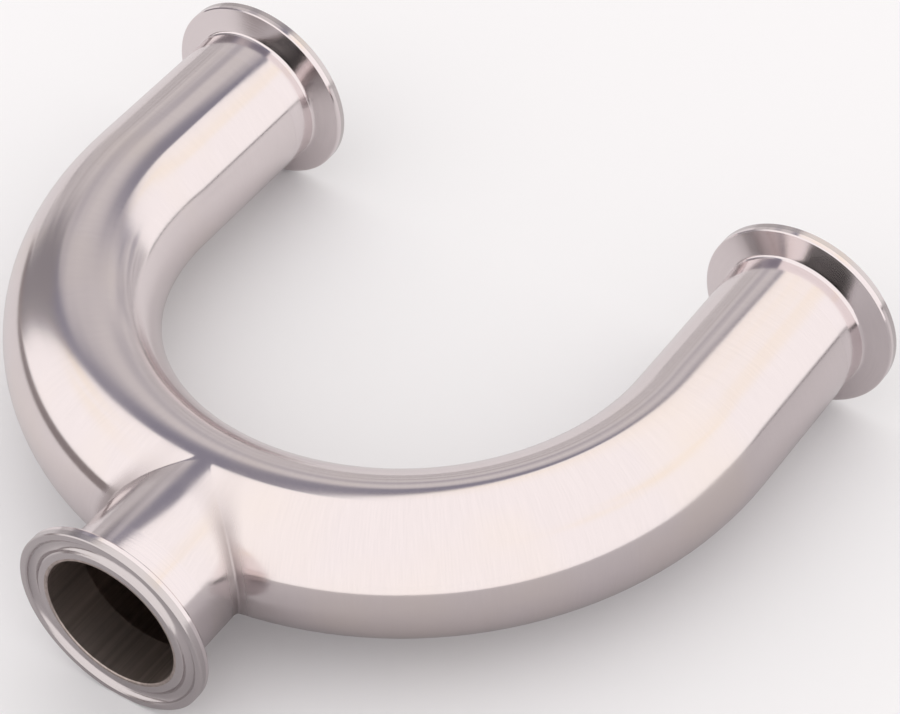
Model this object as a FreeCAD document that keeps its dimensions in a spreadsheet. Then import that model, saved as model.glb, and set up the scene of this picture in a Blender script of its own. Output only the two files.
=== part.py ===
import FreeCAD, Part
import math
import os
import Sketcher
from FreeCAD import Placement, Rotation, Vector

# A sanitary U-bend with a third outlet: one bent stainless tube with a collar pulled out of the
# middle of its bend, and three clamp ferrules butt-welded on and polished flush.
# The legs point along +Y, the branch along -Y, and the part lies on its three flange rims.

SIZES = {
    "tube_diameter": 38.0,
    "tube_wall": 1.5,
    "bend_radius": 80.0,
    "leg_straight": 36.0,
    "collar_reach": 26.3,
    "collar_draft": 0.16,
    "collar_blend": 1.5,
    "mouth_blend": 1.0,
    "ferrule_length": 12.7,
    "flange_width": 6.25,
    "rim_thickness": 2.85,
    "back_taper": 20.0,
    "neck_blend": 0.8,
    "gasket_inset": 3.5,
    "gasket_radius": 1.6,
    "gasket_depth": 1.4,
    "edge_break": 0.25,
}

doc = FreeCAD.newDocument("u_bend_pipe")
sheet = doc.addObject("Spreadsheet::Sheet", "sizes")
for row, (alias, number) in enumerate(SIZES.items(), start=1):
    sheet.set(f"A{row}", alias)
    sheet.set(f"B{row}", str(number))
    sheet.setAlias(f"B{row}", alias)
doc.recompute()

TUBE_RADIUS = "sizes.tube_diameter / 2"
BORE_RADIUS = f"({TUBE_RADIUS} - sizes.tube_wall)"
COLLAR_END = "(sizes.bend_radius + sizes.collar_reach)"
LEG_FACE = "(sizes.leg_straight + sizes.ferrule_length)"
BRANCH_FACE = f"({COLLAR_END} + sizes.ferrule_length)"
FLANGE_RADIUS = f"({TUBE_RADIUS} + sizes.flange_width)"
GASKET_CENTRE = f"({FLANGE_RADIUS} - sizes.gasket_inset)"
GASKET_RISE = "(sizes.gasket_radius - sizes.gasket_depth)"
GASKET_HALF_WIDTH = f"sqrt(sizes.gasket_radius ^ 2 - {GASKET_RISE} ^ 2)"
RIM_BACK = "(sizes.ferrule_length - sizes.rim_thickness)"
TAPER_DEPTH = "sizes.flange_width * tan(sizes.back_taper * 1 deg)"
# The frame's origin lies under the middle of the part, on the surface that it rests on.
BEND_CENTRE_Y = f"({BRANCH_FACE} - {LEG_FACE}) / 2"


def value(expression):
    """The number that an expression of the sheet's sizes gives."""
    result = sheet.evalExpression(expression)
    return float(getattr(result, "Value", result))


def new_body(name, rotation, shift_x, shift_y):
    """An empty body, turned and moved to its place on the part."""
    body = doc.addObject("PartDesign::Body", name)
    body.Label = name
    body.Placement = Placement(Vector(0, 0, 0), rotation)
    body.setExpression("Placement.Base.x", shift_x)
    body.setExpression("Placement.Base.y", shift_y)
    body.setExpression("Placement.Base.z", FLANGE_RADIUS)
    return body


def new_sketch(body, name, plane_role):
    """A sketch on one of the body's own origin planes."""
    plane = next(item for item in body.Origin.OriginFeatures if item.Role == plane_role)
    sketch = body.newObject("Sketcher::SketchObject", name)
    sketch.AttachmentSupport = [(plane, "")]
    sketch.MapMode = "FlatFace"
    return sketch


def bind(sketch, constraint, expression):
    """Add a sketch dimension that follows the sheet."""
    index = sketch.addConstraint(constraint)
    sketch.setExpression(f"Constraints[{index}]", expression)


def set_point(sketch, geometry, end, x_size, y_size):
    """Hold one point of the sketch at its distances from the sketch's origin."""
    for kind, size, axis in (("DistanceX", x_size, -2), ("DistanceY", y_size, -1)):
        distance = value(size)
        if distance == 0:
            sketch.addConstraint(Sketcher.Constraint("PointOnObject", geometry, end, axis))
        elif distance > 0:
            bind(sketch, Sketcher.Constraint(kind, -1, 1, geometry, end, distance), size)
        else:
            bind(sketch, Sketcher.Constraint(kind, geometry, end, -1, 1, -distance), f"-({size})")


def add_circle(sketch, x_size, y_size, radius_size):
    """A circle whose centre and radius follow the sheet."""
    centre = Vector(value(x_size), value(y_size), 0)
    radius = value(radius_size)
    circle = sketch.addGeometry(Part.Circle(centre, Vector(0, 0, 1), radius))
    set_point(sketch, circle, 3, x_size, y_size)
    bind(sketch, Sketcher.Constraint("Radius", circle, radius), radius_size)


def add_outline(sketch, corners):
    """A closed outline of straight lines, with each corner's x and y following the sheet."""
    points = [Vector(value(x_size), value(y_size), 0) for x_size, y_size in corners]
    lines = [
        sketch.addGeometry(Part.LineSegment(start, end))
        for start, end in zip(points, points[1:] + points[:1])
    ]
    for line, following in zip(lines, lines[1:] + lines[:1]):
        sketch.addConstraint(Sketcher.Constraint("Coincident", line, 2, following, 1))
    for line, (x_size, y_size) in zip(lines, corners):
        set_point(sketch, line, 1, x_size, y_size)


def turn(body, kind, name, sketch, angle=360.0):
    """Revolve a sketch about its own vertical axis, as added metal or as a cut."""
    feature = body.newObject(kind, name)
    feature.Profile = sketch
    feature.ReferenceAxis = (sketch, ["V_Axis"])
    feature.Angle = angle
    feature.Reversed = True
    doc.recompute()


def extrude(body, kind, name, sketch, length_size, reverse):
    """Pad or pocket a sketch over a length from the sheet."""
    feature = body.newObject(kind, name)
    feature.Profile = sketch
    feature.setExpression("Length", length_size)
    feature.Reversed = reverse
    doc.recompute()


def ease(body, name, edges, kind, width_name, width_size):
    """Round or bevel the named edges of the body's last feature."""
    base = body.Tip
    feature = body.newObject(kind, name)
    feature.Base = (base, edges)
    feature.setExpression(width_name, width_size)
    doc.recompute()


def blend(body, name, edges, radius_size):
    """A round of one radius along the edges."""
    ease(body, name, edges, "PartDesign::Fillet", "Radius", radius_size)


def bevel(body, name, edges, width_size):
    """A small flat bevel along the edges, as a lathe tool breaks them."""
    ease(body, name, edges, "PartDesign::Chamfer", "Size", width_size)


def rings(body, radius_size, height_size):
    """Names of the last feature's circular edges of one radius at one height on the body's axis."""
    radius = value(radius_size)
    height = value(height_size)
    return [
        f"Edge{number}"
        for number, edge in enumerate(body.Tip.Shape.Edges, start=1)
        if isinstance(edge.Curve, Part.Circle)
        and abs(edge.Curve.Radius - radius) < 1e-4
        and abs(edge.Curve.Center.z - height) < 1e-4
    ]


def saddle_edges(body, radius_size):
    """Names of the edges where the branch meets the bend, on the bend's surface of one radius."""
    bend_radius = value("sizes.bend_radius")
    radius = value(radius_size)

    def on_bend(point):
        """True for a point of the bend's surface."""
        outwards = math.hypot(point.x, point.y) - bend_radius
        return abs(math.hypot(outwards, point.z) - radius) < 1e-3

    def beside_branch(point):
        """True for a point outside the bend's centre line and no wider than the branch."""
        return point.y < -bend_radius and abs(point.x) <= radius

    names = []
    for number, edge in enumerate(body.Tip.Shape.Edges, start=1):
        points = edge.discretize(7)
        if all(on_bend(point) and beside_branch(point) for point in points):
            names.append(f"Edge{number}")
    return names


def u_tube(body, kind, prefix, radius_size):
    """The round bend and its two straight legs, as metal or as the bore through them.

    The bend is turned about the Z axis and lies on the -Y side. Each leg leaves it along +Y.
    """
    adds = kind == "metal"
    bend_kind = "PartDesign::Revolution" if adds else "PartDesign::Groove"
    leg_kind = "PartDesign::Pad" if adds else "PartDesign::Pocket"
    section = new_sketch(body, f"{prefix}_bend_section", "XZ_Plane")
    add_circle(section, "sizes.bend_radius", "0", radius_size)
    turn(body, bend_kind, f"{prefix}_bend", section, 180.0)
    for side, centre in (("left", "-sizes.bend_radius"), ("right", "sizes.bend_radius")):
        leg = new_sketch(body, f"{prefix}_{side}_section", "XZ_Plane")
        add_circle(leg, centre, "0", radius_size)
        extrude(body, leg_kind, f"{prefix}_{side}_leg", leg, "sizes.leg_straight", adds)


def collar(body, kind, name, radius_size):
    """The branch collar, or its bore: a plug that narrows a little towards the bend's centre line.

    The draft keeps the collar just inside the bend's own width, so the two surfaces cross all round.
    """
    profile = new_sketch(body, f"{name}_profile", "XY_Plane")
    root = f"({radius_size} - sizes.collar_draft)"
    corners = [
        ("0", "-sizes.bend_radius"),
        (root, "-sizes.bend_radius"),
        (radius_size, f"-{COLLAR_END}"),
        ("0", f"-{COLLAR_END}"),
    ]
    add_outline(profile, corners)
    collar_kind = "PartDesign::Revolution" if kind == "metal" else "PartDesign::Groove"
    turn(body, collar_kind, name, profile)


# Bent tube: cold-drawn round tube bent through a half turn, its branch collar pulled from the wall
tube = new_body("u_bend_tube", Rotation(), "0", BEND_CENTRE_Y)
u_tube(tube, "metal", "outside", TUBE_RADIUS)
collar(tube, "metal", "collar", TUBE_RADIUS)
blend(tube, "collar_root", saddle_edges(tube, TUBE_RADIUS), "sizes.collar_blend")
u_tube(tube, "cut", "bore", BORE_RADIUS)
collar(tube, "cut", "branch_bore", BORE_RADIUS)
blend(tube, "branch_mouth", saddle_edges(tube, BORE_RADIUS), "sizes.mouth_blend")


def clamp_ferrule(name, rotation, shift_x, shift_y):
    """A turned clamp ferrule: a tube end with a flange, tapered at the back for its clamp.

    It is turned about its own Z axis, from the weld at z = 0 to the gasket face.
    """
    body = new_body(name, rotation, shift_x, shift_y)
    profile = new_sketch(body, f"{name}_profile", "XZ_Plane")
    neck_top = f"({RIM_BACK} - {TAPER_DEPTH})"
    corners = [
        (BORE_RADIUS, "0"),
        (TUBE_RADIUS, "0"),
        (TUBE_RADIUS, neck_top),
        (FLANGE_RADIUS, RIM_BACK),
        (FLANGE_RADIUS, "sizes.ferrule_length"),
        (BORE_RADIUS, "sizes.ferrule_length"),
    ]
    add_outline(profile, corners)
    turn(body, "PartDesign::Revolution", f"{name}_turned", profile)

    seat = new_sketch(body, f"{name}_seat_profile", "XZ_Plane")
    add_circle(seat, GASKET_CENTRE, f"sizes.ferrule_length + {GASKET_RISE}", "sizes.gasket_radius")
    turn(body, "PartDesign::Groove", f"{name}_gasket_seat", seat)

    blend(body, f"{name}_neck", rings(body, TUBE_RADIUS, neck_top), "sizes.neck_blend")
    sharp_rings = [
        (FLANGE_RADIUS, RIM_BACK),
        (FLANGE_RADIUS, "sizes.ferrule_length"),
        (f"{GASKET_CENTRE} + {GASKET_HALF_WIDTH}", "sizes.ferrule_length"),
        (f"{GASKET_CENTRE} - {GASKET_HALF_WIDTH}", "sizes.ferrule_length"),
        (BORE_RADIUS, "sizes.ferrule_length"),
    ]
    edges = [edge for radius, height in sharp_rings for edge in rings(body, radius, height)]
    bevel(body, f"{name}_edges", edges, "sizes.edge_break")
    return body


# Clamp ferrules: one on each leg and one on the branch, all turned to the same drawing
ALONG_LEGS = Rotation(Vector(1, 0, 0), -90)
ALONG_BRANCH = Rotation(Vector(1, 0, 0), 90)
LEG_END_Y = f"{BEND_CENTRE_Y} + sizes.leg_straight"
BRANCH_END_Y = f"{BEND_CENTRE_Y} - {COLLAR_END}"

pieces = [
    tube,
    clamp_ferrule("left_ferrule", ALONG_LEGS, "-sizes.bend_radius", LEG_END_Y),
    clamp_ferrule("right_ferrule", ALONG_LEGS, "sizes.bend_radius", LEG_END_Y),
    clamp_ferrule("branch_ferrule", ALONG_BRANCH, "0", BRANCH_END_Y),
]
doc.recompute()

# Every feature and every finished piece is sound before anything is written
for item in doc.Objects:
    if {"Invalid", "Error"} & set(item.State):
        raise RuntimeError(f"{item.Label} failed: {item.State}")
for piece in pieces:
    if piece.Shape.isNull() or not piece.Shape.isValid():
        raise RuntimeError(f"{piece.Label} has no valid shape")
    if len(piece.Shape.Solids) != 1:
        raise RuntimeError(f"{piece.Label} is not one solid")

os.makedirs("parts", exist_ok=True)
for piece in pieces:
    piece.Shape.exportStep(f"parts/{piece.Label}.step")
    box = piece.Shape.optimalBoundingBox()
    print(f"{piece.Label}: {piece.Shape.Volume:.0f} mm3, {len(piece.Shape.Faces)} faces")
    print(f"  x {box.XMin:.2f} to {box.XMax:.2f}, y {box.YMin:.2f} to {box.YMax:.2f}")
    print(f"  z {box.ZMin:.2f} to {box.ZMax:.2f}")
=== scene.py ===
import math

import bpy
from mathutils import Matrix, Vector


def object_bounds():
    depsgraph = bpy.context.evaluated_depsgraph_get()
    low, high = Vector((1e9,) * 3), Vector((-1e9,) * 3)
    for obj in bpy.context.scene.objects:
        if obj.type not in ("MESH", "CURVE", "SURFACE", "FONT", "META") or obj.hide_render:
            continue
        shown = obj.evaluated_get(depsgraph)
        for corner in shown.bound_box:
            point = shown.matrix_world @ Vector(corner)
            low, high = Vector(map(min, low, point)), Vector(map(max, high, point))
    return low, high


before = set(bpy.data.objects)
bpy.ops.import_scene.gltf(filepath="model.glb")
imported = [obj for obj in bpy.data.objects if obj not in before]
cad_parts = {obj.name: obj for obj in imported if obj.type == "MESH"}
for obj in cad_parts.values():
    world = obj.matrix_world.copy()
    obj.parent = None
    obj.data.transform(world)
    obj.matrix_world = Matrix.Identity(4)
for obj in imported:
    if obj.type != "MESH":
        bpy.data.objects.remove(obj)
cad_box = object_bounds()

# Bent tube: a stainless steel tube of 38 mm with a wall of 1.5 mm, bent cold through half a turn,
# with a collar pulled out of its outer side for the branch. A polishing belt ran across it all round,
# so its fine marks go round the tube, and a reflection is sharp across the tube and soft along it.
MM = 0.001
# A leg runs from the end of the bend to its gasket face
LEG_LENGTH = 48.7 * MM
# The part is centred over the origin, stands on its flanges, and is highest and widest at them
HALF_WIDTH, HALF_LENGTH, HEIGHT = cad_box[1]
AXIS_HEIGHT = HEIGHT / 2
BEND_RADIUS = HALF_WIDTH - AXIS_HEIGHT
BEND_CENTRE_Y = HALF_LENGTH - LEG_LENGTH
# The bore's radius is 17.5 mm. This limit lies within the wall, so it takes in the rounded mouth too
BORE_LIMIT = 18.3 * MM


def linear(hex_colour):
    """A colour written as sRGB hex, as the linear values that Blender works in."""
    channels = [int(hex_colour[start:start + 2], 16) / 255 for start in (1, 3, 5)]
    return [c / 12.92 if c <= 0.04045 else ((c + 0.055) / 1.055) ** 2.4 for c in channels] + [1.0]


def add_node(tree, kind, sources=(), **settings):
    """Add a shader node with its settings, and feed its inputs by their names or in their order.

    A source is a plain value, a socket, or a node, which stands for its first output in use.
    """
    node = tree.nodes.new("ShaderNode" + kind)
    for name, setting in settings.items():
        setattr(node, name, setting)
    if isinstance(sources, dict):
        feeds = [(node.inputs[name], source) for name, source in sources.items()]
    else:
        feeds = zip([socket for socket in node.inputs if socket.enabled], sources)
    for socket, source in feeds:
        if isinstance(source, bpy.types.Node):
            source = next(output for output in source.outputs if output.enabled)
        if isinstance(source, bpy.types.NodeSocket):
            tree.links.new(source, socket)
        else:
            socket.default_value = source
    return node


def new_material(name):
    """An empty node material and its tree."""
    material = bpy.data.materials.new(name)
    material.use_nodes = True
    material.node_tree.nodes.clear()
    return material, material.node_tree


BORE_LINE_WIDTH = 1.2 * MM
BORE_LINE_LENGTH = 60 * MM
BORE_DARK, BORE_PALE = "#ABA099", "#C1B5AF"


def bore_tone(tree, place):
    """The tone of a bore that is only pickled: browner than the outside, with lines drawn along it."""
    line_size = Vector((BORE_LINE_WIDTH, BORE_LINE_LENGTH, BORE_LINE_WIDTH))
    line_place = add_node(tree, "VectorMath", [place, line_size], operation="DIVIDE")
    lines = add_node(tree, "TexNoise", {"Vector": line_place, "Scale": 1.0, "Detail": 2.0})
    clear_lines = add_node(tree, "MapRange", {"Value": lines, "From Min": 0.35, "From Max": 0.65})
    return add_node(tree, "Mix", [clear_lines, linear(BORE_DARK), linear(BORE_PALE)], data_type="RGBA")


tube_finish, tree = new_material("belt_polished_stainless_tube")
place = add_node(tree, "TexCoord").outputs["Object"]
x, y, z = add_node(tree, "SeparateXYZ", [place]).outputs
above = add_node(tree, "Math", [z, AXIS_HEIGHT], operation="SUBTRACT")
ahead = add_node(tree, "Math", [y, BEND_CENTRE_Y], operation="SUBTRACT")
along_leg = add_node(tree, "Math", [ahead, 0.0], operation="MAXIMUM")
into_bend = add_node(tree, "Math", [ahead, 0.0], operation="MINIMUM")
behind = add_node(tree, "Math", [into_bend, -1.0], operation="MULTIPLY")
# Across is the distance out from the tube's centre line, and run is the distance along it
from_bend_centre = add_node(tree, "CombineXYZ", [x, behind])
reach = add_node(tree, "VectorMath", [from_bend_centre], operation="LENGTH")
across = add_node(tree, "Math", [reach, BEND_RADIUS], operation="SUBTRACT")
angle = add_node(tree, "Math", [behind, x], operation="ARCTAN2")
turned = add_node(tree, "Math", [angle, BEND_RADIUS], operation="MULTIPLY")
side = add_node(tree, "Math", [x], operation="SIGN")
gone_straight = add_node(tree, "Math", [side, along_leg], operation="MULTIPLY")
run = add_node(tree, "Math", [turned, gone_straight], operation="SUBTRACT")

# Distance from the centre lines of the bend and of the branch, which starts at the middle of the bend
bend_offset = add_node(tree, "CombineXYZ", [across, above])
bend_distance = add_node(tree, "VectorMath", [bend_offset], operation="LENGTH")
branch_offset = add_node(tree, "CombineXYZ", {"X": x, "Z": above})
branch_distance = add_node(tree, "VectorMath", [branch_offset], operation="LENGTH")
not_branch = add_node(tree, "Math", [y, BEND_CENTRE_Y - BEND_RADIUS], operation="GREATER_THAN")
branch_distance = add_node(tree, "Math", [branch_distance, not_branch], operation="ADD")
nearer_distance = add_node(tree, "Math", [bend_distance, branch_distance], operation="MINIMUM")
in_bore = add_node(tree, "Math", [nearer_distance, BORE_LIMIT], operation="LESS_THAN")

# The collar was ground by hand where it meets the bend, so the two faces run into each other there
GROUND_TIGHT, GROUND_WIDE = 0.15 * MM, 0.8 * MM
squeeze = add_node(tree, "Math", [across, reach], operation="DIVIDE")
bend_facing = add_node(tree, "CombineXYZ", [
    add_node(tree, "Math", [x, squeeze], operation="MULTIPLY"),
    add_node(tree, "Math", [into_bend, squeeze], operation="MULTIPLY"),
    above])
bend_facing = add_node(tree, "VectorMath", [bend_facing], operation="NORMALIZE")
branch_facing = add_node(tree, "VectorMath", [branch_offset], operation="NORMALIZE")
likeness = add_node(tree, "VectorMath", [bend_facing, branch_facing], operation="DOT_PRODUCT")
ground_width = add_node(tree, "MapRange", {
    "Value": likeness, "From Min": 1.0, "From Max": 0.0, "To Min": GROUND_TIGHT, "To Max": GROUND_WIDE})
beside_seam = add_node(tree, "Math", [bend_distance, branch_distance], operation="SUBTRACT")
branch_share = add_node(tree, "MapRange", {
    "Value": add_node(tree, "Math", [beside_seam, ground_width], operation="DIVIDE"),
    "From Min": -1.0, "From Max": 1.0}, interpolation_type="SMOOTHSTEP")
outer_facing = add_node(tree, "Mix", [branch_share, bend_facing, branch_facing], data_type="VECTOR")
mesh_facing = add_node(tree, "NewGeometry").outputs["Normal"]
facing = add_node(tree, "Mix", [in_bore, outer_facing, mesh_facing], data_type="VECTOR")
facing = add_node(tree, "VectorMath", [facing], operation="NORMALIZE")

# The grinding and a painted shade show along the seam where the faces meet at an angle, and not where
# they meet flush
GRIND_FULL, GRIND_REACH = 0.3 * MM, 4 * MM
FLUSH_LIKENESS, ANGLED_LIKENESS = 0.97, 0.6
near_seam = add_node(tree, "MapRange", {
    "Value": add_node(tree, "Math", [beside_seam], operation="ABSOLUTE"),
    "From Min": GRIND_FULL, "From Max": GRIND_REACH,
    "To Min": 1.0, "To Max": 0.0}, interpolation_type="SMOOTHSTEP")
at_angle = add_node(tree, "MapRange", {
    "Value": likeness, "From Min": FLUSH_LIKENESS, "From Max": ANGLED_LIKENESS})
ground = add_node(tree, "Math", [near_seam, at_angle], operation="MULTIPLY")

# The belt's marks are finer than this on the real tube, and are drawn coarser so that they show
MARK_WIDTH = 0.3 * MM
MARK_LENGTH = 7 * MM
MARK_DEPTH = 0.01 * MM
CLOUD_WIDTH = 40 * MM
mark_place = add_node(tree, "CombineXYZ", [
    add_node(tree, "Math", [run, MARK_WIDTH], operation="DIVIDE"),
    add_node(tree, "Math", [across, MARK_LENGTH], operation="DIVIDE"),
    add_node(tree, "Math", [above, MARK_LENGTH], operation="DIVIDE")])
marks = add_node(tree, "TexNoise", {
    "Vector": mark_place, "Scale": 1.0, "Detail": 3.0, "Roughness": 0.6})
cloud = add_node(tree, "TexNoise", {"Vector": place, "Scale": 1 / CLOUD_WIDTH, "Detail": 2.0})

# Pale neutral steel, warmer in clouds, greyer along the ground seam as painted shade, and browner in
# the bore
STEEL_DARK, STEEL_PALE = "#E2DADA", "#EBE3E3"
STEEL_WARM = "#ECE1D7"
STEEL_GROUND = "#B3A9A9"
GRIND_TINT = 0.6
tone = add_node(tree, "Mix", [marks, linear(STEEL_DARK), linear(STEEL_PALE)], data_type="RGBA")
warmth = add_node(tree, "MapRange", {
    "Value": cloud, "From Min": 0.52, "From Max": 0.75, "To Max": 0.5})
tone = add_node(tree, "Mix", [warmth, tone, linear(STEEL_WARM)], data_type="RGBA")
# The seam's greyer tint is painted shade in the crease between collar and bend
tint = add_node(tree, "Math", [ground, GRIND_TINT], operation="MULTIPLY")
tone = add_node(tree, "Mix", [tint, tone, linear(STEEL_GROUND)], data_type="RGBA")
tone = add_node(tree, "Mix", [in_bore, tone, bore_tone(tree, place)], data_type="RGBA")

FINE_POLISH, COARSE_POLISH = 0.11, 0.15
GROUND_DULLNESS = 0.38
BORE_DULLNESS = 0.41
polish = add_node(tree, "MapRange", {
    "Value": cloud, "From Min": 0.3, "From Max": 0.7, "To Min": FINE_POLISH, "To Max": COARSE_POLISH})
dullness = add_node(tree, "Mix", [ground, polish, GROUND_DULLNESS])
dullness = add_node(tree, "Mix", [in_bore, dullness, BORE_DULLNESS])

# Bending and belt polishing leave the wall a few hundredths of a millimetre out of true
WAVE_LENGTH = 22 * MM
WAVE_DEPTH = 0.05 * MM
waves = add_node(tree, "TexNoise", {"Vector": place, "Scale": 1 / WAVE_LENGTH, "Detail": 1.0})
wavy_facing = add_node(tree, "Bump", {
    "Height": waves, "Strength": 1.0, "Distance": WAVE_DEPTH, "Normal": facing})
relief = add_node(tree, "Bump", {
    "Height": marks, "Strength": 0.09, "Distance": MARK_DEPTH, "Normal": wavy_facing})
lengthwise = add_node(tree, "CombineXYZ", [behind, x])
lengthwise = add_node(tree, "VectorMath", [lengthwise], operation="NORMALIZE")
steel = add_node(tree, "BsdfPrincipled", {
    "Base Color": tone, "Metallic": 1.0, "Roughness": dullness, "Anisotropic": 0.88,
    "Tangent": lengthwise, "Normal": relief})
add_node(tree, "OutputMaterial", {"Surface": steel})
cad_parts["u_bend_tube"].data.materials[0] = tube_finish

# Clamp ferrules: turned from stainless bar, butt-welded to the three tube ends and ground flush.
# Lathe marks run round each one, so its rim and the land inside the groove shine in fine rings. They
# are drawn coarser than the lathe leaves them, so that they show.
RING_PITCH = 0.35 * MM
RING_LENGTH = 12 * MM
RING_DEPTH = 0.01 * MM
FACE_DEPTH = 1.65 * MM
FLANGE_DEPTH = 5.75 * MM
turned_finish, tree = new_material("turned_stainless_ferrule")
place = add_node(tree, "TexCoord").outputs["Object"]
x, y, z = add_node(tree, "SeparateXYZ", [place]).outputs
above = add_node(tree, "Math", [z, AXIS_HEIGHT], operation="SUBTRACT")
aside = add_node(tree, "Math", [x], operation="ABSOLUTE")
on_leg = add_node(tree, "Math", [aside, BEND_RADIUS / 2], operation="GREATER_THAN")
to_leg = add_node(tree, "Math", [on_leg, BEND_RADIUS], operation="MULTIPLY")
aside = add_node(tree, "Math", [aside, to_leg], operation="SUBTRACT")
from_axis = add_node(tree, "CombineXYZ", [aside, above])
radius = add_node(tree, "VectorMath", [from_axis], operation="LENGTH")
from_middle = add_node(tree, "Math", [y], operation="ABSOLUTE")
on_face = add_node(tree, "Math", [from_middle, HALF_LENGTH - FACE_DEPTH], operation="GREATER_THAN")
on_neck = add_node(tree, "Math", [from_middle, HALF_LENGTH - FLANGE_DEPTH], operation="LESS_THAN")
in_bore = add_node(tree, "Math", [radius, BORE_LIMIT], operation="LESS_THAN")
ring_place = add_node(tree, "CombineXYZ", [
    add_node(tree, "Math", [radius, RING_PITCH], operation="DIVIDE"),
    add_node(tree, "Math", [y, RING_PITCH], operation="DIVIDE"),
    add_node(tree, "Math", [above, RING_LENGTH], operation="DIVIDE")])
rings = add_node(tree, "TexNoise", {"Vector": ring_place, "Scale": 1.0, "Detail": 2.0})

# The gasket face with its groove is left as turned, and drawn a little greyer as painted shade. The
# bore is as brown as the tube's
TURNED_DARK, TURNED_PALE = "#E3DBDC", "#ECE4E4"
FACE_TONE = "#CCC6C6"
tone = add_node(tree, "Mix", [rings, linear(TURNED_DARK), linear(TURNED_PALE)], data_type="RGBA")
tone = add_node(tree, "Mix", [on_face, tone, linear(FACE_TONE)], data_type="RGBA")
tone = add_node(tree, "Mix", [in_bore, tone, bore_tone(tree, place)], data_type="RGBA")

# The neck was polished together with the tube after welding, by a belt that ran round it
RIM_DULLNESS, FACE_DULLNESS, NECK_DULLNESS = 0.12, 0.2, 0.15
TURNED_DEPTH, NECK_DEPTH = 1.0, 3.0
dullness = add_node(tree, "Mix", [on_face, RIM_DULLNESS, FACE_DULLNESS])
dullness = add_node(tree, "Mix", [on_neck, dullness, NECK_DULLNESS])
dullness = add_node(tree, "Mix", [in_bore, dullness, BORE_DULLNESS])
mark_depth = add_node(tree, "Mix", [on_neck, TURNED_DEPTH, NECK_DEPTH])
relief = add_node(tree, "Bump", {
    "Height": add_node(tree, "Math", [rings, mark_depth], operation="MULTIPLY"),
    "Strength": 0.15, "Distance": RING_DEPTH})
steel = add_node(tree, "BsdfPrincipled", {
    "Base Color": tone, "Metallic": 1.0, "Roughness": dullness, "Normal": relief})
add_node(tree, "OutputMaterial", {"Surface": steel})
for node_name in ("left_ferrule", "right_ferrule", "branch_ferrule"):
    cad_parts[node_name].data.materials[0] = turned_finish

# Studio floor: a large sheet of smooth pale paper that the part lies on. It is matt, with hardly
# any gloss, and it runs far past the picture on every side.
FLOOR_REACH = 3.0
PAPER_TONE = "#ECEDEF"
PAPER_DULLNESS = 0.9
PAPER_GLOSS = 0.2


def sheet_corners(height):
    """The corners of a square sheet that covers the whole floor, at the given height."""
    return [(x * FLOOR_REACH, y * FLOOR_REACH, height) for x, y in ((-1, -1), (1, -1), (1, 1), (-1, 1))]


floor_mesh = bpy.data.meshes.new("floor")
floor_mesh.from_pydata(sheet_corners(0), [], [(0, 1, 2, 3)])
floor = bpy.data.objects.new("floor", floor_mesh)
bpy.context.scene.collection.objects.link(floor)
paper, tree = new_material("pale_paper")
matt = add_node(tree, "BsdfPrincipled", {
    "Base Color": linear(PAPER_TONE), "Roughness": PAPER_DULLNESS, "Specular IOR Level": PAPER_GLOSS})
add_node(tree, "OutputMaterial", {"Surface": matt})
floor_mesh.materials.append(paper)

# Light: a tent of white cloth all round, plain and soft. The lamps behind the cloth warm it a little
# halfway up at the back, unevenly, where its folds let more of them through. Places on the tent
# are parts of a direction of length 1.
TENT_STRENGTH = 1.15
TENT_COLOUR = linear("#FFFBFA")
LAMP_COLOUR = linear("#FFF5E6")
LAMP_HEIGHT = 0.7
LAMP_SPREAD = 0.12
LAMPS_START, LAMPS_FULL = -0.35, 0.1
FOLDS_ACROSS = 6.0
world = bpy.data.worlds.new("light_tent")
bpy.context.scene.world = world
world.use_nodes = True
tree = world.node_tree
tree.nodes.clear()
toward = add_node(tree, "TexCoord").outputs["Generated"]
backward, upward = add_node(tree, "SeparateXYZ", [toward]).outputs[1:]
from_lamps = add_node(tree, "Math", [upward, LAMP_HEIGHT], operation="SUBTRACT")
lamp_glow = add_node(tree, "MapRange", {
    "Value": add_node(tree, "Math", [from_lamps], operation="ABSOLUTE"),
    "From Max": LAMP_SPREAD, "To Min": 1.0, "To Max": 0.0}, interpolation_type="SMOOTHSTEP")
folds = add_node(tree, "TexNoise", {"Vector": toward, "Scale": FOLDS_ACROSS, "Detail": 1.0})
through_folds = add_node(tree, "MapRange", {"Value": folds, "From Min": 0.35, "From Max": 0.6})
lamp_glow = add_node(tree, "Math", [lamp_glow, through_folds], operation="MULTIPLY")
at_back = add_node(tree, "MapRange", {
    "Value": backward, "From Min": LAMPS_START, "From Max": LAMPS_FULL})
lamp_glow = add_node(tree, "Math", [lamp_glow, at_back], operation="MULTIPLY")
cloth = add_node(tree, "Mix", [lamp_glow, TENT_COLOUR, LAMP_COLOUR], data_type="RGBA")
background = add_node(tree, "Background", {"Color": cloth, "Strength": TENT_STRENGTH})
add_node(tree, "OutputWorld", {"Surface": background})

# Grey card: a glowing board over the back left, which only the steel sees, so it is a painted
# reflection.
# Its edges give the polished bands their edges. It comes down to the table at its far sides, and near
# its front and right edges its grey is darker and bluer, in patches and stripes, as painted shade.
GREY_HEIGHT = 200 * MM
GREY_SHADE, GREY_WIDE_SHADE = "#8A8896", "#8A868B"
GREY_PALE = "#DBD6D5"
FRONT_EDGE = [(-400 * MM, -7 * MM), (-45 * MM, 33 * MM)]
SIDE_EDGE = [(-50 * MM, 170 * MM), (90 * MM, 450 * MM)]
FAR_CORNERS = [(1.0, FLOOR_REACH), (-FLOOR_REACH, FLOOR_REACH), (-FLOOR_REACH, -80 * MM)]
EDGE_DARK, EDGE_SHADE = 20 * MM, 80 * MM
SIDE_NARROWING = 0.2 * EDGE_SHADE
SHADE_FADES, SHADE_GONE = -160 * MM, -60 * MM
WIDE_FROM, WIDE_FULL = -240 * MM, -290 * MM
WIDE_SHADE = 85 * MM
WIDE_GROWTH = 0.35
PATCH_WIDTH = 90 * MM
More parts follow.
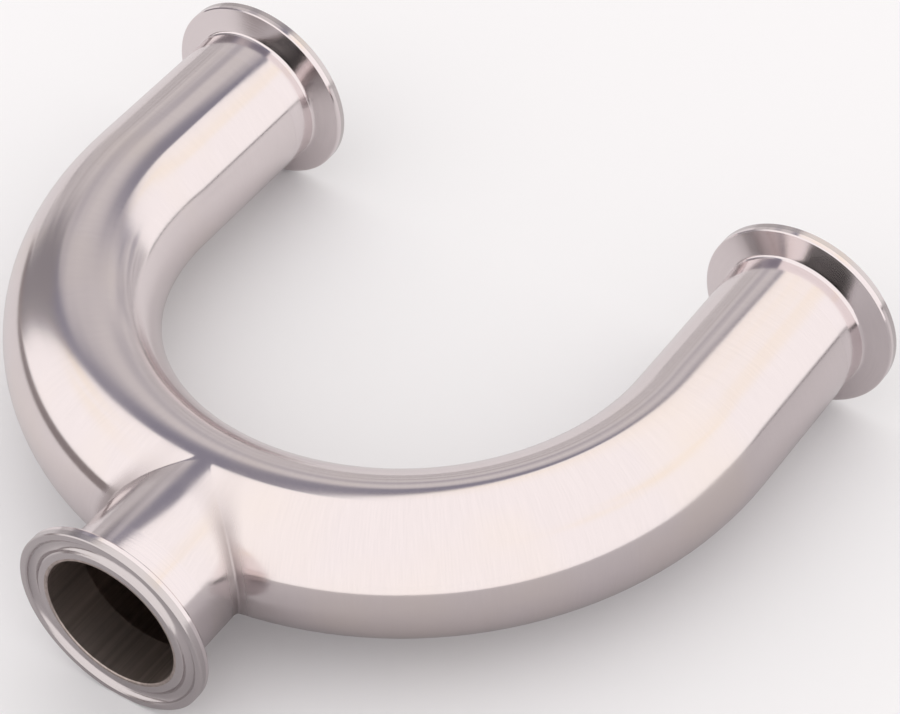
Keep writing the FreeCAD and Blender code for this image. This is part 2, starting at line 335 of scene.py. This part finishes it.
STRIPE_WIDTH, STRIPE_LENGTH = 70 * MM, 420 * MM


def hang_card(name, corners, faces=None):
    """Hang a card that only reflections show, and return its material's tree to be filled."""
    mesh = bpy.data.meshes.new(name)
    mesh.from_pydata(corners, [], faces or [list(range(len(corners)))])
    card = bpy.data.objects.new(name, mesh)
    bpy.context.scene.collection.objects.link(card)
    paint, paint_tree = new_material(name)
    mesh.materials.append(paint)
    card.visible_camera = False
    card.visible_diffuse = False
    card.visible_shadow = False
    return paint_tree


def light_up(tree, colour, strength):
    """Make a card glow in a colour, so that its tone doesn't hang on the light around it."""
    glow = add_node(tree, "Emission", {"Color": colour, "Strength": strength})
    add_node(tree, "OutputMaterial", {"Surface": glow})


def inside_edge(tree, spot, edge):
    """How far a spot on a card lies inside one of the card's straight edges."""
    start, end = Vector(edge[0]), Vector(edge[1])
    inward = (end - start).orthogonal().normalized()
    from_start = add_node(tree, "VectorMath", [spot, (*start, 0)], operation="SUBTRACT")
    return add_node(tree, "VectorMath", [from_start, (*inward, 0)], operation="DOT_PRODUCT")


top_corners = [(x, y, GREY_HEIGHT) for x, y in FRONT_EDGE + SIDE_EDGE + FAR_CORNERS]
foot_corners = [(x, y, 0) for x, y in FAR_CORNERS]
top_face = list(range(len(top_corners)))
far_faces = [[4, 5, 8, 7], [5, 6, 9, 8]]
tree = hang_card("grey_card_painted_reflection", top_corners + foot_corners, [top_face] + far_faces)
spot = add_node(tree, "TexCoord").outputs["Object"]
spot_x = add_node(tree, "SeparateXYZ", [spot]).outputs["X"]
narrowing = add_node(tree, "MapRange", {
    "Value": spot_x, "From Min": SHADE_FADES, "From Max": SHADE_GONE, "To Max": EDGE_SHADE})
from_front = inside_edge(tree, spot, FRONT_EDGE)
from_front = add_node(tree, "Math", [from_front, narrowing], operation="ADD")

# Far out to the left the shade along the front edge is wider, and it widens further outwards
past_full = add_node(tree, "Math", [WIDE_FULL, spot_x], operation="SUBTRACT")
past_full = add_node(tree, "Math", [past_full, 0.0], operation="MAXIMUM")
widened = add_node(tree, "MapRange", {
    "Value": spot_x, "From Min": WIDE_FULL, "From Max": WIDE_FROM, "To Min": 1.0, "To Max": 0.0})
widening = add_node(tree, "Math", [widened, WIDE_SHADE], operation="MULTIPLY")
widening = add_node(tree, "Math", [past_full, WIDE_GROWTH, widening], operation="MULTIPLY_ADD")
from_front = add_node(tree, "Math", [from_front, widening], operation="SUBTRACT")
from_side = inside_edge(tree, spot, SIDE_EDGE)
from_side = add_node(tree, "Math", [from_side, SIDE_NARROWING], operation="ADD")
from_edge = add_node(tree, "Math", [from_front, from_side], operation="MINIMUM")

patches = add_node(tree, "TexNoise", {"Vector": spot, "Scale": 1 / PATCH_WIDTH, "Detail": 1.0})
uneven = add_node(tree, "Math", [patches, 0.5], operation="SUBTRACT")
uneven = add_node(tree, "Math", [uneven, EDGE_SHADE], operation="MULTIPLY")
from_edge = add_node(tree, "Math", [from_edge, uneven], operation="ADD")
paler = add_node(tree, "MapRange", {
    "Value": from_edge, "From Min": EDGE_DARK, "From Max": EDGE_SHADE}, interpolation_type="SMOOTHSTEP")
stripe_place = add_node(
    tree, "VectorMath", [spot, (1 / STRIPE_WIDTH, 1 / STRIPE_LENGTH, 0)], operation="MULTIPLY")
stripes = add_node(tree, "TexNoise", {"Vector": stripe_place, "Scale": 1.0, "Detail": 1.0})
pale_stripes = add_node(tree, "MapRange", {
    "Value": stripes, "From Min": 0.38, "From Max": 0.62, "To Min": 0.5, "To Max": 1.0},
    interpolation_type="SMOOTHSTEP")
paler = add_node(tree, "Math", [paler, pale_stripes], operation="MULTIPLY")
shade = add_node(tree, "Mix", [widened, linear(GREY_SHADE), linear(GREY_WIDE_SHADE)], data_type="RGBA")
grey = add_node(tree, "Mix", [paler, shade, linear(GREY_PALE)], data_type="RGBA")
light_up(tree, grey, 1.0)

# Grey sheet: the table top that the steel sees under itself, matt, and greyer than the floor as painted
# shade, with a painted shadow that darkens it towards the front right. It isn't lit up, so it takes the
# part's shadow as paper does.
SHEET_HEIGHT = 0.5 * MM
SHEET_PALE, SHEET_DARK = "#D9D8DA", "#B9B7BA"
SHEET_PALE_TO, SHEET_DARK_FROM = -60 * MM, 120 * MM
tree = hang_card("grey_sheet_painted_shade", sheet_corners(SHEET_HEIGHT))
spot = add_node(tree, "TexCoord").outputs["Object"]
x, y = add_node(tree, "SeparateXYZ", [spot]).outputs[:2]
to_front_right = add_node(tree, "MapRange", {
    "Value": add_node(tree, "Math", [x, y], operation="SUBTRACT"),
    "From Min": SHEET_PALE_TO, "From Max": SHEET_DARK_FROM}, interpolation_type="SMOOTHSTEP")
grey = add_node(tree, "Mix", [to_front_right, linear(SHEET_PALE), linear(SHEET_DARK)], data_type="RGBA")
matt = add_node(tree, "BsdfPrincipled", {
    "Base Color": grey, "Roughness": PAPER_DULLNESS, "Specular IOR Level": PAPER_GLOSS})
add_node(tree, "OutputMaterial", {"Surface": matt})

# White card: a glowing card beyond the table's front edge, as bright as the tent, which only
# reflections show, so it is a painted reflection. In light that the steel has mirrored twice it is
# nearly black, as painted shade as dark as the gap between a flange's back and its tube is.
WHITE_HEIGHT = 1 * MM
SHADED_STRENGTH = 0.06
TABLE_EDGE = [
    (-60 * MM, -240 * MM), (60 * MM, -225 * MM), (150 * MM, -190 * MM), (215 * MM, -115 * MM),
    (300 * MM, -50 * MM), (420 * MM, 40 * MM)]
WHITE_FAR_CORNERS = [(FLOOR_REACH, 1.2), (FLOOR_REACH, -FLOOR_REACH), (-0.4, -FLOOR_REACH)]


def second_reflection(tree):
    """1 for light that the steel has mirrored twice, else 0."""
    mirrored = add_node(tree, "LightPath").outputs["Ray Depth"]
    return add_node(tree, "Math", [mirrored, 1.5], operation="GREATER_THAN")


tree = hang_card("white_card_painted_reflection", [(x, y, WHITE_HEIGHT) for x, y in TABLE_EDGE + WHITE_FAR_CORNERS])
strength = add_node(tree, "MapRange", {
    "Value": second_reflection(tree), "To Min": TENT_STRENGTH, "To Max": SHADED_STRENGTH})
light_up(tree, TENT_COLOUR, strength)

# Dark strips: low glowing boards on edge, at the left and at the back, which only reflections show.
# They are painted reflections that draw dark lines in the steel.
# Each post of a strip is given by its place and by the heights of its foot and its top, in mm.
LEFT_TONE, BACK_TONE = "#8A8181", "#4A4444"
LEFT_POSTS = [
    (-390, 90, 0, 34), (-400, -60, 0, 44), (-370, -170, 2, 60),
    (-290, -290, 8, 78), (-190, -380, 24, 112)]
BACK_POSTS = [(150, 620, 4, 15), (330, 560, 3, 15), (480, 420, 3, 15), (560, 330, 4, 14)]
for name, tone, posts in (("left_strip_painted_reflection", LEFT_TONE, LEFT_POSTS), ("back_strip_painted_reflection", BACK_TONE, BACK_POSTS)):
    corners = [(x * MM, y * MM, z * MM) for x, y, foot, top in posts for z in (foot, top)]
    spans = [(2 * n, 2 * n + 1, 2 * n + 3, 2 * n + 2) for n in range(len(posts) - 1)]
    light_up(hang_card(name, corners, spans), linear(tone), 1.0)

# Dark flag: a black sheet that stands in front of the part and paints shade on the flanges' backs. It
# shows only in light that the steel has mirrored twice, and is clear for all other light, so that only
# the flanges' backs go dark.
FLAG_TONE = "#060606"
FLAG_Y = -1.0
FLAG_HEIGHT = 0.45
FLAG_HALF_WIDTH = 0.6
tree = hang_card("dark_flag_painted_shade", [
    (-FLAG_HALF_WIDTH, FLAG_Y, 0), (FLAG_HALF_WIDTH, FLAG_Y, 0),
    (FLAG_HALF_WIDTH, FLAG_Y, FLAG_HEIGHT), (-FLAG_HALF_WIDTH, FLAG_Y, FLAG_HEIGHT)])
black = add_node(tree, "Emission", {"Color": linear(FLAG_TONE), "Strength": 1.0})
clear = add_node(tree, "BsdfTransparent")
shown = add_node(tree, "MixShader", [second_reflection(tree), clear, black])
add_node(tree, "OutputMaterial", {"Surface": shown})

# Camera: a long lens, looking down on the part from the front right. It is turned a little round
# its own line of sight, as it was held for the photograph.
TARGET = Vector((17.11 * MM, 25.36 * MM, AXIS_HEIGHT))
AZIMUTH, ELEVATION, ROLL = math.radians(35.59), math.radians(44.54), math.radians(-2.52)
DISTANCE = 761.9 * MM
LENS_LENGTH = 128.3
SENSOR_WIDTH = 36.0
level = Vector((math.cos(AZIMUTH), math.sin(AZIMUTH), 0))
forward = Vector((-math.sin(AZIMUTH), math.cos(AZIMUTH), 0))
back = math.sin(ELEVATION) * Vector((0, 0, 1)) - math.cos(ELEVATION) * forward
upright = back.cross(level)
right = math.cos(ROLL) * level + math.sin(ROLL) * upright
up = math.cos(ROLL) * upright - math.sin(ROLL) * level
lens = bpy.data.cameras.new("camera")
lens.sensor_width = SENSOR_WIDTH
lens.lens = LENS_LENGTH
lens.clip_start = 10 * MM
camera = bpy.data.objects.new("camera", lens)
bpy.context.scene.collection.objects.link(camera)
turn = Matrix((right, up, back)).transposed().to_4x4()
camera.matrix_world = Matrix.Translation(TARGET + DISTANCE * back) @ turn
bpy.context.scene.camera = camera
bpy.context.scene.view_settings.view_transform = "Standard"
